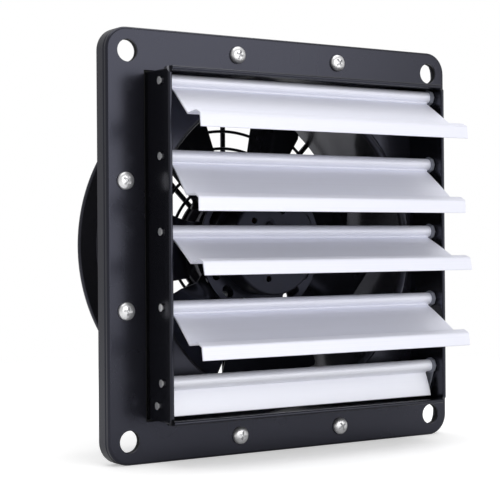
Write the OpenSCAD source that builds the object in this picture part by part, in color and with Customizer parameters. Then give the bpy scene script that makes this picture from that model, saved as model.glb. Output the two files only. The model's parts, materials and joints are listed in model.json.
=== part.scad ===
// Window exhaust fan: square flange, louver box with four swinging louvers and a fixed bottom
// slat, round duct, rear wire guard and an axial fan on an outer-rotor motor.
// Frame: origin at the centre of the front plate's front face, louvers towards -Y, +X to the
// right seen from the front, +Z up. Millimetres.

/* [Flange] */
// Width and height of the square flange
flange_w = 300; // [294:1:330]
// Radius of the flange's corners
flange_corner_r = 16; // [12:0.5:20]
// Thickness of the pressed steel sheet
sheet_t = 1.2; // [0.8:0.1:1.5]
// Depth of the front plate with its folded edge
front_plate_d = 3.8; // [3:0.1:6]
// Depth of the housing tray with its folded edge
tray_d = 11; // [8:0.5:16]
// Radius of the folded edges, seen from outside
fold_r = 2; // [1.7:0.1:2.6]
// Distance between the corner mounting holes, both ways
hole_spacing = 267.4; // [264:0.2:270]
// Diameter of the corner mounting holes
hole_d = 15.3; // [8:0.1:16]

/* [Flange screws] */
// Distance of each flange screw from the flange's middle line
screw_offset = 44.5; // [30:0.5:90]
// Distance of each row of flange screws from the centre
screw_row = 136.2; // [132:0.2:138]
// Diameter of the flange screws
screw_d = 5; // [4:0.5:6]
// Diameter of their pan heads
screw_head_d = 12.4; // [9:0.2:14]
// Height of their pan heads
screw_head_h = 3.8; // [2.5:0.1:5]
// Width of their nuts across the flats
nut_af = 8; // [7:0.5:10]
// Thickness of their nuts
nut_t = 4; // [3:0.2:5]

/* [Louver box] */
// Outer width and height of the louver box
box_w = 239; // [236:1:244]
// How far the box stands out of the front plate
box_d = 34; // [30:1:45]
// Thickness of the box walls
box_t = 1.6; // [1.2:0.1:2]
// Length of the slanted cuts at the side walls' front corners
box_notch = 5; // [2:0.5:8]
// Thickness of the hem folded outwards along the box's front edge
hem_t = 1.4; // [0.8:0.1:1.6]
// Depth of that hem
hem_d = 7; // [4:0.5:9]

/* [Louvers] */
// Distance between neighbouring louver pivots
louver_pitch = 51.2; // [50.8:0.1:51.4]
// Height from the topmost pivot to the box's top wall
top_pivot_gap = 6.1; // [5.4:0.1:6.4]
// Distance of the pivots in front of the front plate
pivot_out = 20.6; // [18:0.2:24]
// Diameter of the louver's round edge tube
tube_d = 9; // [8:0.2:9.6]
// Diameter of the bore in that tube
tube_bore_d = 6.1; // [5.5:0.1:6.6]
// Thickness of the louver's skin
skin_t = 1; // [0.8:0.1:1.2]
// Straight length of the blade between the tube and the valley
blade_len = 33.5; // [30:0.5:34]
// How far the blade arches above its straight line
blade_arch = 0.4; // [0.2:0.1:2]
// Slope of an open blade below the horizontal, in degrees
blade_slope = 36; // [34:1:38]
// Length of the shelf in front of the valley
shelf_len = 11; // [9:0.5:12]
// Length of the rounded nose
nose_len = 5.2; // [4:0.2:6]
// Height of the front lip
lip_h = 8.6; // [8:0.2:10]
// Length of the fixed bottom slat's blade
slat_len = 18.4; // [14:0.2:19]
// Slope of the fixed bottom slat below the horizontal, in degrees
slat_slope = 75.6; // [70:0.2:80]
// Gap between a bush and the box wall
bush_gap = 0.5; // [0.4:0.1:1]
// Gap between a blade's end and the box wall
blade_gap = 2.4; // [2:0.1:4]

/* [Louver bushes and rivets] */
// Width of a bush's eight-sided flange across its flats
bush_flange_d = 10.8; // [10:0.2:11.2]
// Thickness of a bush's flange
bush_flange_t = 2.9; // [2:0.1:6]
// Length of a bush inside its tube
bush_len = 9; // [6:0.5:12]
// Diameter of a rivet's shank
rivet_d = 3.2; // [2.5:0.1:4]
// Length of a rivet's shank, from the box wall's outer face
rivet_len = 12; // [8:0.5:14]
// Diameter of a rivet's head
rivet_head_d = 5.4; // [4.8:0.2:7]
// Height of a rivet's head
rivet_head_h = 1.6; // [1:0.1:2]
// Thickness of the arm that locks the bottom slat
lock_arm_t = 1.4; // [1:0.1:2]
// Height of the lock rivet below the bottom slat's pivot
lock_drop = 15.7; // [13:0.1:18]
// Distance of the lock rivet behind the bottom slat's pivot
lock_back = 6; // [4:0.2:8]

/* [Duct] */
// Inner diameter of the duct
duct_d = 225; // [216:1:227]
// Diameter of the opening in the housing tray
throat_d = 233.2; // [230:0.2:234]
// Length of the duct behind the mounting face
duct_len = 73; // [70:0.2:90]
// Diameter of the duct's rear rim
rim_d = 256.4; // [252:0.4:262]
// Depth of the rim's folded lip
rim_lip = 3; // [2.4:0.2:5]
// Width of the duct's front flange behind the tray
duct_flange_w = 6; // [4:0.5:10]

/* [Guard] */
// Distance between neighbouring guard rings
ring_pitch = 13.5; // [12:0.1:14]
// Gap between the motor plate and the first ring
ring_gap = 3.8; // [1:0.1:8]
// Diameter of the guard's wire
wire_d = 2.4; // [1.6:0.1:3]
// Width of the guard's flat spokes
spoke_w = 3.8; // [3:0.1:6]
// Thickness of the guard's flat spokes
spoke_t = 1.8; // [1.2:0.1:3]
// Width of the lugs at four spoke ends
lug_w = 9; // [8:0.5:12]
// Least length of those lugs beyond the outermost ring
lug_len = 8.5; // [8:0.1:10]
// Diameter of the motor plate in the guard's middle
motor_plate_d = 88; // [86:1:90]
// Diameter of the screws in the lugs, the plate and the hub
small_screw_d = 3; // [2.5:0.1:3.5]
// Diameter of those screws' heads
small_head_d = 6.4; // [5:0.2:6.8]
// Height of those screws' heads
small_head_h = 2.2; // [1.6:0.1:3]

/* [Fan] */
// Diameter over the blade tips
fan_d = 211; // [196:1:213]
// Angle that each blade fills, seen along the axis, in degrees
blade_span = 37; // [30:1:42]
// Pitch of the blades, in degrees
blade_pitch = 26; // [20:1:32]
// Camber radius of the blades
camber_r = 220; // [150:5:400]
// Thickness of the blades
blade_t = 1; // [0.8:0.1:1.4]
// Width of a blade's root ahead of its middle line
root_lead = 25; // [20:1:28]
// Width of a blade's root behind its middle line
root_trail = 15; // [12:1:20]
// Outer diameter of the ring that carries the blades
carrier_d = 92; // [90:1:96]
// Thickness of that ring and of the disc ahead of it
carrier_t = 1.5; // [1.2:0.1:2.5]
// Depth of the carrier ring behind the mounting face
carrier_z = 45; // [42:0.5:47]
// Diameter of the disc in front of the blades
disc_d = 108; // [104:1:110]
// Depth of that disc behind the mounting face
disc_z = 24; // [20:0.5:26]
// Width of the windows in the disc
window_w = 7; // [5:0.5:9]

/* [Motor] */
// Diameter of the rotor cup
cup_d = 75; // [72:1:76]
// Length of the rotor cup
cup_len = 46.8; // [44:0.2:50]
// Depth of the cup's front face behind the mounting face
cup_z = 3.2; // [2:0.2:6]
// Thickness of the cup's wall
cup_t = 1.5; // [1.2:0.1:2]
// Gap between the stator and the rotor core
air_gap = 0.5; // [0.4:0.05:0.8]
// Diameter of the stator stack
stator_d = 55; // [52:1:57]
// Length of the stator stack
stator_len = 24; // [20:1:26]
// Diameter of the shaft
shaft_d = 8; // [6:0.5:9]
// Outer diameter of the ball bearings
bearing_d = 22; // [20:0.5:23]
// Width of the ball bearings
bearing_w = 7; // [6:0.5:8]
// Diameter of the motor base's flanges
base_d = 84; // [80:1:86]
// Diameter of the motor base's barrel
barrel_d = 72; // [68:1:74]
// Number of cooling ribs on the barrel
rib_count = 12; // [8:1:16]

/* [Hidden] */

// Fineness of round faces, all of them true circles
$fn = 96;
// Overrun of every cut
cut = 0.5;
// Gap between fixed pieces that fit into each other
seat = 0.05;
// Radial clearance of a turning fit
run = 0.04;
// Clearance around a screw in its hole
screw_clear = 0.2;

// Depths along the axis, measured forwards from the tray's rear edge
plate_z = tray_d + front_plate_d;
box_z = plate_z + box_d;
pivot_z = plate_z + pivot_out;
tray_face_z = tray_d - sheet_t;
rim_back_z = -duct_len;
wire_z = rim_back_z - seat - wire_d / 2;
spoke_z = wire_z - wire_d / 2 - seat;
plate_rear_z = spoke_z;
plate_front_z = rim_back_z - seat;
cup_face_z = -cup_z;
cup_rear_z = cup_face_z - cup_len;

// Louver places
half_in = box_w / 2 - box_t;
top_pivot_y = half_in - top_pivot_gap;
// Rest angle of each louver above the nominal open slope
louver_angle = [0, -5, 6.5, 1];
slat_angle = blade_slope - slat_slope;
tube_half = half_in - bush_gap - bush_flange_t;
blade_half = half_in - blade_gap;
bush_sides = 8;
bush_corner_r = bush_flange_d / 2 / cos(180 / bush_sides);
shelf_angle = 8;
nose_angle = 25;
lip_angle = 7;
bead_r = skin_t * 0.8;

// Louver outline, walked from the tube's underside to the lip
function step(p, len, angle) = p + len * [cos(angle), sin(angle)];
blade_start = tube_d / 2 * [0.28, -1.06];
valley = step(blade_start, blade_len, -blade_slope);
shelf_end = step(valley, shelf_len, shelf_angle);
nose_end = step(shelf_end, nose_len, -nose_angle);
lip_end = step(nose_end, lip_h, lip_angle - 90);

// Motor places
hub_t = cup_t * 2;
hub_r = stator_d * 0.37;
bearing_seat_z = cup_face_z - cup_t - hub_t - bearing_w * 0.4;
base_gap = cup_t;
base_face_z = cup_rear_z - base_gap;
base_flange_t = cup_t * 8 / 3;
base_rear_z = plate_front_z + seat;
stack_z = cup_face_z - (cup_len - stator_len) * 0.64;
bearing_tube_r = bearing_d / 2 + cup_t * 5 / 3;
rear_bearing_z = base_face_z - base_flange_t + bearing_w;
shaft_end_z = base_face_z - base_flange_t - shaft_d * 0.45;
clip_t = cup_t * 2 / 3;
cavity_rear_z = base_rear_z + base_flange_t;
motor_screw_r = barrel_d * 0.38;
hub_screw_r = cup_d * 0.203;
vent_r = cup_d * 0.347;
vent_d = vent_r * 0.17;
flange_screw_angle = 44.5;
hub_screw_angle = 49;
vent_angle = 16;
spoke_count = 8;
lug_out = rim_d / 2 - sheet_t - screw_clear;
first_ring_r = motor_plate_d / 2 + ring_gap + wire_d / 2;
last_ring_r = lug_out - lug_len - seat - wire_d / 2;
ring_r = [for (r = first_ring_r; r <= last_ring_r; r = r + ring_pitch) r];
lug_in = max(ring_r) + wire_d / 2 + seat;
lug_r = (lug_in + lug_out) / 2;
blade_count = 7;
first_blade = 23;
root_r = carrier_d / 2 + 4 * blade_t;
rivet_r = (cup_d / 2 + carrier_d / 2) / 2;
blade_rivet_d = small_screw_d;
gland_r = shaft_d * 0.75;
gland_af = gland_r * 3;
gland_bore_r = gland_r * 0.6;
cap_r = barrel_d * 0.118;

// Turns the fan frame (X right, Y up, Z forwards from the tray's rear edge) into the part's frame
module facing() translate([0, plate_z, 0]) rotate([90, 0, 0]) children();

module tube(r_out, r_in, z0, z1) {
    translate([0, 0, z0]) difference() {
        cylinder(r = r_out, h = z1 - z0);
        translate([0, 0, -cut]) cylinder(r = r_in, h = z1 - z0 + 2 * cut);
    }
}

module four_corners(spacing) {
    for (sx = [-1, 1], sy = [-1, 1]) translate([sx * spacing / 2, sy * spacing / 2, 0]) children();
}

module at_flange_screws() {
    for (turn = [0, 90, 180, 270], side = [-1, 1])
        rotate(turn) translate([side * screw_offset, screw_row, 0]) children();
}

// Solid pan with rounded corners and a rounded front edge, from z = 0 forwards
module pan_profile(r, depth, edge) {
    square([r, depth - edge]);
    square([r - edge, depth]);
    intersection() {
        translate([r - edge, depth - edge]) circle(edge);
        square([r, depth]);
    }
}
module pan(width, r, depth, edge) {
    inner = width - 2 * r;
    translate([-inner / 2, -inner / 2, 0]) cube([inner, inner, depth]);
    four_corners(inner) rotate_extrude() pan_profile(r, depth, edge);
    for (turn = [0, 90, 180, 270])
        rotate(turn) translate([inner / 2, inner / 2, 0]) rotate([90, 0, 0])
            linear_extrude(inner) pan_profile(r, depth, edge);
}
module pressed_pan(depth) {
    difference() {
        pan(flange_w, flange_corner_r, depth, fold_r);
        translate([0, 0, -cut])
            pan(flange_w - 2 * sheet_t, flange_corner_r - sheet_t, depth - sheet_t + cut,
                fold_r - sheet_t);
        translate([0, 0, -cut]) four_corners(hole_spacing) cylinder(d = hole_d, h = depth + 2 * cut);
        translate([0, 0, -cut]) at_flange_screws()
            cylinder(r = screw_d / 2 + screw_clear, h = depth + 2 * cut);
    }
}

// Pan-head screw with a cross recess; its head rises from z = 0, its shank runs down
module pan_screw(head_d, head_h, shank_d, shank_len) {
    cap_h = head_h * 0.72;
    dome_r = (head_d * head_d / 4 + cap_h * cap_h) / (2 * cap_h);
    slot_l = head_d * 0.46;
    slot_w = head_d * 0.12;
    difference() {
        intersection() {
            cylinder(d = head_d, h = head_h);
            translate([0, 0, head_h - dome_r]) sphere(r = dome_r);
        }
        for (turn = [0, 90]) rotate(turn)
            translate([-slot_l / 2, -slot_w / 2, head_h * 0.45]) cube([slot_l, slot_w, head_h]);
    }
    translate([0, 0, -shank_len]) cylinder(d = shank_d, h = shank_len);
}

// Dome-headed rivet; its head rises from z = 0, its shank runs down
module rivet(head_d, head_h, shank_d, shank_len) {
    dome_r = (head_d * head_d / 4 + head_h * head_h) / (2 * head_h);
    intersection() {
        cylinder(d = head_d, h = head_h);
        translate([0, 0, head_h - dome_r]) sphere(r = dome_r);
    }
    translate([0, 0, -shank_len]) cylinder(d = shank_d, h = shank_len);
}

module front_plate() color("#3a3940") facing() {
    translate([0, 0, tray_d]) difference() {
        pressed_pan(front_plate_d);
        translate([-box_w / 2, -box_w / 2, -cut]) cube([box_w, box_w, front_plate_d + 2 * cut]);
    }
}

module flange_gasket() color("#151515") facing() {
    outer_w = flange_w - 2 * sheet_t - 2 * screw_clear;
    inner_w = box_w + 2 * screw_clear;
    gasket_t = front_plate_d - sheet_t;
    translate([0, 0, tray_d]) difference() {
        pan(outer_w, flange_corner_r - sheet_t - screw_clear, gasket_t, fold_r - sheet_t);
        translate([-inner_w / 2, -inner_w / 2, -cut]) cube([inner_w, inner_w, gasket_t + 2 * cut]);
        translate([0, 0, -cut]) four_corners(hole_spacing)
            cylinder(r = hole_d / 2 + screw_clear, h = gasket_t + 2 * cut);
        translate([0, 0, -cut]) at_flange_screws()
            cylinder(r = screw_d / 2 + screw_clear, h = gasket_t + 2 * cut);
    }
}

module housing_tray() color("#33323a") facing() {
    difference() {
        pressed_pan(tray_d);
        translate([0, 0, -cut]) cylinder(d = throat_d, h = tray_d + 2 * cut);
    }
}

// Places on both side walls, with Z pointing out of the box
module at_pivot(y, z) {
    for (side = [0, 180]) rotate([0, side, 0])
        translate([box_w / 2, y, side == 0 ? z : -z]) rotate([0, 90, 0]) children();
}
function pivot_y(k) = top_pivot_y - louver_pitch * k;
module at_rivets() {
    for (k = [0:4]) at_pivot(pivot_y(k), pivot_z) children();
    at_pivot(pivot_y(4) - lock_drop, pivot_z - lock_back) children();
}

module louver_box() color("#1d1d20") facing() {
    depth = box_z - tray_d;
    hem_half = box_w / 2 + hem_t;
    difference() {
        union() {
            translate([-box_w / 2, -box_w / 2, tray_d]) cube([box_w, box_w, depth]);
            translate([-hem_half, -hem_half, box_z - hem_d])
                cube([2 * hem_half, 2 * hem_half, hem_d]);
        }
        translate([-half_in, -half_in, tray_d - cut])
            cube([2 * half_in, 2 * half_in, depth + 2 * cut]);
        at_rivets() cylinder(r = rivet_d / 2 + run, h = 4 * box_t, center = true);
        for (sx = [-1, 1], sy = [-1, 1])
            translate([sx * (hem_half + half_in) / 2, sy * hem_half, box_z]) rotate([45, 0, 0])
                cube([box_t + hem_t + 2 * cut, box_notch * sqrt(2), box_notch * sqrt(2)],
                     center = true);
    }
}

// Duct wall, its flared mouth under the tray, and the flat rear rim with its folded lip
module duct_profile() {
    r = duct_d / 2;
    flare = throat_d / 2 - r;
    bend_z = tray_face_z - sheet_t;
    translate([r, rim_back_z]) square([sheet_t, bend_z - flare - rim_back_z]);
    translate([r + flare + sheet_t, bend_z - flare]) intersection() {
        difference() {
            circle(flare + sheet_t);
            circle(flare);
        }
        translate([-flare - sheet_t, 0]) square(flare + sheet_t);
    }
    translate([r + flare + sheet_t, bend_z]) square([duct_flange_w - sheet_t, sheet_t]);
    translate([r, rim_back_z]) square([rim_d / 2 - r, sheet_t]);
    translate([rim_d / 2 - sheet_t, rim_back_z - rim_lip + sheet_t]) square([sheet_t, rim_lip]);
}
module duct() color("#26262b") facing() difference() {
    rotate_extrude() duct_profile();
    at_lugs() translate([0, 0, rim_back_z - cut])
        cylinder(r = small_screw_d / 2 + seat, h = sheet_t + 2 * cut);
}

module flange_screws() color("#d8d8dc") facing() {
    at_flange_screws() translate([0, 0, plate_z]) rotate(flange_screw_angle)
        pan_screw(screw_head_d, screw_head_h, screw_d, front_plate_d + sheet_t + nut_t);
}

module flange_nuts() color("#b9b9bf") facing() {
    at_flange_screws() translate([0, 0, tray_face_z - nut_t]) difference() {
        cylinder(d = nut_af / cos(30), h = nut_t, $fn = 6);
        translate([0, 0, -cut]) cylinder(r = screw_d / 2 + seat, h = nut_t + 2 * cut);
    }
}

// Sheet strips of the louver outline, in the plane (forwards, up)
module strip(a, b, t) {
    d = b - a;
    translate(a) rotate(atan2(d[1], d[0])) translate([0, -t / 2]) square([norm(d), t]);
    for (p = [a, b]) translate(p) circle(d = t, $fn = 24);
}
module arched_strip(a, slope, len, arch, t) {
    arc_r = len * len / (8 * arch) + arch / 2;
    half = asin(len / 2 / arc_r);
    translate(a) rotate(-slope) translate([len / 2, arch - arc_r]) intersection() {
        difference() {
            circle(arc_r + t / 2, $fn = 360);
            circle(arc_r - t / 2, $fn = 360);
        }
        polygon([[0, 0], 2 * arc_r * [-sin(half), cos(half)], 2 * arc_r * [sin(half), cos(half)]]);
    }
}
module edge_tube() {
    circle(d = tube_d);
    translate(blade_start + [bead_r, bead_r * 0.6]) circle(bead_r, $fn = 32);
}
module louver_blade_outline() {
    arched_strip(blade_start, blade_slope, blade_len, blade_arch, skin_t);
    translate(blade_start) circle(d = skin_t, $fn = 24);
    strip(valley, shelf_end, skin_t);
    strip(shelf_end, nose_end, skin_t);
    strip(nose_end, lip_end, skin_t);
}
module slat_blade_outline() {
    arched_strip(blade_start, blade_slope, slat_len, blade_arch, skin_t);
    for (p = [blade_start, step(blade_start, slat_len, -blade_slope)])
        translate(p) circle(d = skin_t, $fn = 24);
}
module along_x(half) rotate([0, -90, 0]) linear_extrude(2 * half, center = true) children();

module extrusion(y, turn) {
    translate([0, y, pivot_z]) difference() {
        union() {
            along_x(tube_half) rotate(turn) edge_tube();
            along_x(blade_half) rotate(turn) children();
        }
        along_x(tube_half + cut) circle(d = tube_bore_d);
        for (side = [0, 180]) rotate([0, 90 + side, 0])
            translate([0, 0, tube_half]) cylinder(r = bush_corner_r + screw_clear, h = box_w);
    }
}
module louver(k) color("#c9c9d4") facing()
    extrusion(pivot_y(k - 1), louver_angle[k - 1]) louver_blade_outline();

// One bush, its flange against the tube's end and its spigot in the bore; Z points outwards
module bush_body() {
    difference() {
        union() {
            translate([0, 0, -bush_gap - box_t - bush_flange_t])
                cylinder(r = bush_corner_r, h = bush_flange_t, $fn = bush_sides);
            translate([0, 0, -bush_gap - box_t - bush_flange_t - bush_len])
                cylinder(r = tube_bore_d / 2 - seat, h = bush_len + bush_flange_t / 2);
        }
        translate([0, 0, -rivet_len - cut]) cylinder(r = rivet_d / 2 + run, h = rivet_len + cut);
    }
}
module louver_bushes(k) color("#9a9aa2") facing()
    at_pivot(pivot_y(k - 1), pivot_z) bush_body();

module bottom_slat() color("#d4d4de") facing()
    extrusion(pivot_y(4), slat_angle) slat_blade_outline();

// The clip is a bush with an arm that reaches down to the lock rivet on the same wall
module slat_clips() color("#9a9aa2") facing() {
    at_pivot(pivot_y(4), pivot_z) bush_body();
    for (side = [-1, 1]) translate([side * (half_in - bush_gap - lock_arm_t / 2), 0, 0])
        difference() {
            translate([0, pivot_y(4), pivot_z]) rotate([0, -90, 0])
                linear_extrude(lock_arm_t, center = true)
                    strip([0, 0], [-lock_back, -lock_drop], bush_flange_d * 0.8);
            translate([0, pivot_y(4), pivot_z]) for (hole = [[0, 0], [-lock_back, -lock_drop]])
                translate([0, hole[1], hole[0]]) rotate([0, 90, 0])
                    cylinder(r = rivet_d / 2 + run, h = box_w, center = true);
        }
}

module louver_rivets() color("#c6c6cc") facing()
    at_rivets() rivet(rivet_head_d, rivet_head_h, rivet_d, rivet_len);

module guard_rings() color("#121214") facing() {
    for (r = ring_r) rotate_extrude() translate([r, wire_z]) circle(d = wire_d, $fn = 24);
}

module at_lugs() {
    for (turn = [45, 135, 225, 315]) rotate(turn) translate([lug_r, 0, 0]) children();
}
module guard_spokes() color("#121214") facing() {
    inner_r = motor_plate_d * 0.24;
    difference() {
        union() {
            for (k = [0:spoke_count - 1]) rotate(k * 360 / spoke_count)
                translate([inner_r, -spoke_w / 2, spoke_z - spoke_t])
                    cube([lug_in + seat - inner_r, spoke_w, spoke_t]);
            for (turn = [45, 135, 225, 315]) rotate(turn) intersection() {
                translate([lug_in, -lug_w / 2, spoke_z - spoke_t])
                    cube([lug_out - lug_in, lug_w, plate_front_z - spoke_z + spoke_t]);
                translate([0, 0, spoke_z - spoke_t - cut])
                    cylinder(r = lug_out, h = wire_d + spoke_t + 2 * cut);
            }
        }
        at_lugs() translate([0, 0, spoke_z - spoke_t - cut])
            cylinder(r = small_screw_d / 2 + screw_clear, h = wire_d + spoke_t + 2 * cut);
    }
}

module motor_plate() color("#121214") facing() difference() {
    tube(motor_plate_d / 2, gland_r + screw_clear, plate_rear_z, plate_front_z);
    at_motor_screws() translate([0, 0, plate_rear_z - cut])
        cylinder(r = small_screw_d / 2 + screw_clear, h = wire_d + 2 * cut);
}
module at_motor_screws() {
    for (k = [0:3]) rotate(22.5 + 90 * k) translate([motor_screw_r, 0, 0]) children();
}
module guard_screws() color("#b9b9bf") facing() {
    at_lugs() translate([0, 0, spoke_z - spoke_t]) rotate([180, 0, 0])
        pan_screw(small_head_d, small_head_h, small_screw_d,
                  wire_d + spoke_t + 2 * seat + 2 * sheet_t);
}
module motor_screws() color("#b9b9bf") facing() {
    at_motor_screws() translate([0, 0, plate_rear_z]) rotate([180, 0, 0])
        pan_screw(small_head_d, small_head_h, small_screw_d, wire_d + base_flange_t);
}

// Motor base: front flange with the bearing tube, ribbed barrel, rear flange
module motor_base() color("#4b4b52") facing() difference() {
    union() {
        translate([0, 0, base_face_z - base_flange_t]) cylinder(d = base_d, h = base_flange_t);
        translate([0, 0, base_rear_z]) cylinder(d = barrel_d, h = base_face_z - base_rear_z);
        translate([0, 0, base_rear_z]) cylinder(d = base_d, h = base_flange_t);
        translate([0, 0, base_face_z - base_flange_t])
            cylinder(r = bearing_tube_r, h = bearing_seat_z - base_face_z + base_flange_t);
        for (k = [0:rib_count - 1]) rotate((k + 0.5) * 360 / rib_count)
            translate([barrel_d / 2 - cup_t, -cup_t / 2, base_rear_z + cup_t])
                cube([(base_d - barrel_d) / 2, cup_t, base_face_z - base_rear_z - 2 * cup_t]);
    }
    translate([0, 0, cavity_rear_z])
        cylinder(r = barrel_d / 2 - 2 * cup_t, h = base_face_z - base_flange_t - cavity_rear_z);
    translate([0, 0, base_rear_z - cut]) cylinder(r = gland_r + seat, h = base_flange_t + 2 * cut);
    translate([0, 0, base_face_z - base_flange_t - cut])
        cylinder(r = bearing_d / 2 - cup_t, h = bearing_seat_z - base_face_z + base_flange_t + 2 * cut);
    translate([0, 0, bearing_seat_z - bearing_w])
        cylinder(r = bearing_d / 2 + seat, h = bearing_w + cut);
    translate([0, 0, base_face_z - base_flange_t - cut])
        cylinder(r = bearing_d / 2 + seat, h = bearing_w + cut);
    at_leads() translate([0, 0, base_face_z - base_flange_t - cut])
        cylinder(r = lead_r + screw_clear, h = base_flange_t + 2 * cut);
    at_motor_screws() translate([0, 0, base_rear_z - cut])
        cylinder(r = small_screw_d / 2 + seat, h = base_flange_t + 2 * cut);
}

lead_r = blade_t * 0.9;
lead_x = -bearing_tube_r - 4 * lead_r;
module at_leads() for (k = [-1:1]) translate([lead_x, 4 * lead_r * k, 0]) children();

module stator_stack() color("#8f9096") facing()
    tube(stator_d / 2, bearing_tube_r + seat, stack_z - stator_len, stack_z);

winding_len = stator_len / 3;
module stator_windings() color("#a45a2a") facing() {
    r_out = stator_d / 2 - 2 * cup_t;
    for (z0 = [stack_z, stack_z - stator_len - winding_len])
        tube(r_out, bearing_tube_r + 2 * seat, z0, z0 + winding_len);
}

// Deep-groove ball bearing: two rings and their balls
module ball_bearing(z_front) {
    r_out = bearing_d / 2;
    r_in = shaft_d / 2;
    wall = (r_out - r_in) * 0.26;
    ball_r = (r_out - r_in - 2 * wall) / 2 - seat;
    tube(r_out, r_out - wall, z_front - bearing_w, z_front);
    tube(r_in + wall, r_in + run, z_front - bearing_w, z_front);
    for (k = [0:7]) rotate(45 * k)
        translate([(r_in + r_out) / 2, 0, z_front - bearing_w / 2]) sphere(r = ball_r);
}
module front_bearing() color("#c0c0c6") facing() ball_bearing(bearing_seat_z);
module rear_bearing() color("#c0c0c6") facing() ball_bearing(rear_bearing_z);

module capacitor() color("#d9d9d2") facing()
    translate([barrel_d * 0.26, 0, cavity_rear_z])
        cylinder(r = cap_r, h = (base_face_z - base_flange_t - cavity_rear_z) * 0.78);

block_h = (base_face_z - base_flange_t - cavity_rear_z) * 0.46;
module terminal_block() color("#e4e0d0") facing()
    translate([lead_x - cap_r * 0.6, -cap_r * 1.2, cavity_rear_z]) difference() {
        cube([cap_r * 1.2, cap_r * 2.4, block_h]);
        for (k = [0:2]) translate([cap_r * 0.95, cap_r * 0.4 + cap_r * 0.8 * k, block_h * 0.7])
            cylinder(r = cap_r * 0.16, h = block_h, $fn = 24);
    }

module motor_leads() color("#8a2f2a") facing()
    at_leads() translate([0, 0, cavity_rear_z + block_h])
        cylinder(r = lead_r, $fn = 24,
                 h = stack_z - stator_len - winding_len - cavity_rear_z - block_h);

gland_head_h = gland_r * 0.8;
gland_nut_h = gland_r * 2;
module cable_gland() color("#1b1b1d") facing() difference() {
    union() {
        translate([0, 0, plate_rear_z - gland_head_h])
            cylinder(d = gland_af / cos(30), h = gland_head_h, $fn = 6);
        translate([0, 0, plate_rear_z]) cylinder(r = gland_r, h = cavity_rear_z - plate_rear_z);
        translate([0, 0, plate_rear_z - gland_head_h - gland_nut_h * 0.7])
            cylinder(r = gland_r, h = gland_nut_h * 0.7 + gland_head_h);
    }
    translate([0, 0, plate_rear_z - gland_nut_h * 2])
        cylinder(r = gland_bore_r + sheet_t, h = gland_nut_h * 4);
}
module gland_nut() color("#1b1b1d") facing() translate([0, 0, plate_rear_z - gland_head_h]) {
    dome_r = gland_af * 0.62;
    difference() {
        intersection() {
            translate([0, 0, -gland_nut_h]) cylinder(d = gland_af / cos(30), h = gland_nut_h, $fn = 6);
            translate([0, 0, -gland_nut_h + dome_r]) sphere(r = dome_r * 1.02);
        }
        translate([0, 0, -gland_nut_h * 0.75]) cylinder(r = gland_r + seat, h = gland_nut_h);
        translate([0, 0, -gland_nut_h * 2]) cylinder(r = gland_bore_r + sheet_t, h = gland_nut_h * 2);
    }
}
module gland_seal() color("#2b2b2b") facing() {
    z0 = plate_rear_z - gland_head_h - gland_nut_h * 0.97;
    tube(gland_bore_r + sheet_t - seat, gland_bore_r, z0, z0 + gland_nut_h);
}

// Rotor cup: closed front face with vents and screw recesses, open rear
module at_hub_screws() {
    for (k = [0:5]) rotate(hub_screw_angle + 60 * k) translate([hub_screw_r, 0, 0]) children();
}
module rotor_cup() color("#5a5962") facing() difference() {
    r = cup_d / 2;
    edge = cup_t * 4 / 3;
    rotate_extrude() difference() {
        union() {
            translate([0, cup_rear_z]) square([r, cup_len - edge]);
            translate([0, cup_rear_z]) square([r - edge, cup_len]);
            intersection() {
                translate([r - edge, cup_face_z - edge]) circle(edge);
                translate([0, cup_face_z - edge]) square([r, edge]);
            }
        }
        translate([0, cup_rear_z - cut]) square([r - cup_t, cup_len - cup_t + cut]);
    }
    at_hub_screws() {
        translate([0, 0, cup_face_z - cup_t * 0.4]) cylinder(d = small_head_d * 1.5, h = cup_t);
        translate([0, 0, cup_face_z - cup_t - cut])
            cylinder(r = small_screw_d / 2 + screw_clear, h = cup_t + 2 * cut);
    }
    for (k = [0:5]) rotate(vent_angle + 60 * k)
        translate([vent_r, 0, cup_face_z - cup_t - cut]) cylinder(d = vent_d, h = cup_t + 2 * cut);
    translate([0, 0, cup_face_z - cup_t - cut])
        cylinder(r = shaft_d / 2 + seat, h = cup_t + 2 * cut);
}
module rotor_hub() color("#84858c") facing() difference() {
    union() {
        translate([0, 0, cup_face_z - cup_t - hub_t]) cylinder(r = hub_r, h = hub_t);
        translate([0, 0, bearing_seat_z + cut])
            cylinder(r = shaft_d, h = cup_face_z - cup_t - bearing_seat_z - cut);
    }
    translate([0, 0, bearing_seat_z]) cylinder(r = shaft_d / 2 + seat / 2, h = cup_len);
    at_hub_screws() translate([0, 0, cup_face_z - cup_t - hub_t - cut])
        cylinder(r = small_screw_d / 2 + seat, h = hub_t + 2 * cut);
}
module hub_screws() color("#8d8d95") facing()
    at_hub_screws() translate([0, 0, cup_face_z - cup_t * 0.4])
        pan_screw(small_head_d, small_head_h, small_screw_d, cup_t * 0.6 + hub_t);
module rotor_core() color("#777880") facing()
    tube(cup_d / 2 - cup_t - seat, stator_d / 2 + air_gap, stack_z - stator_len - cut, stack_z + cut);
module motor_shaft() color("#c0c0c6") facing()
    translate([0, 0, shaft_end_z]) cylinder(d = shaft_d, h = cup_face_z - shaft_end_z);
module shaft_clip() color("#3c3c40") facing()
    tube(shaft_d / 2 + 1.6 * cup_t, shaft_d / 2 + seat / 2,
         rear_bearing_z - bearing_w - 2 * clip_t, rear_bearing_z - bearing_w - clip_t / 2);

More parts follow.
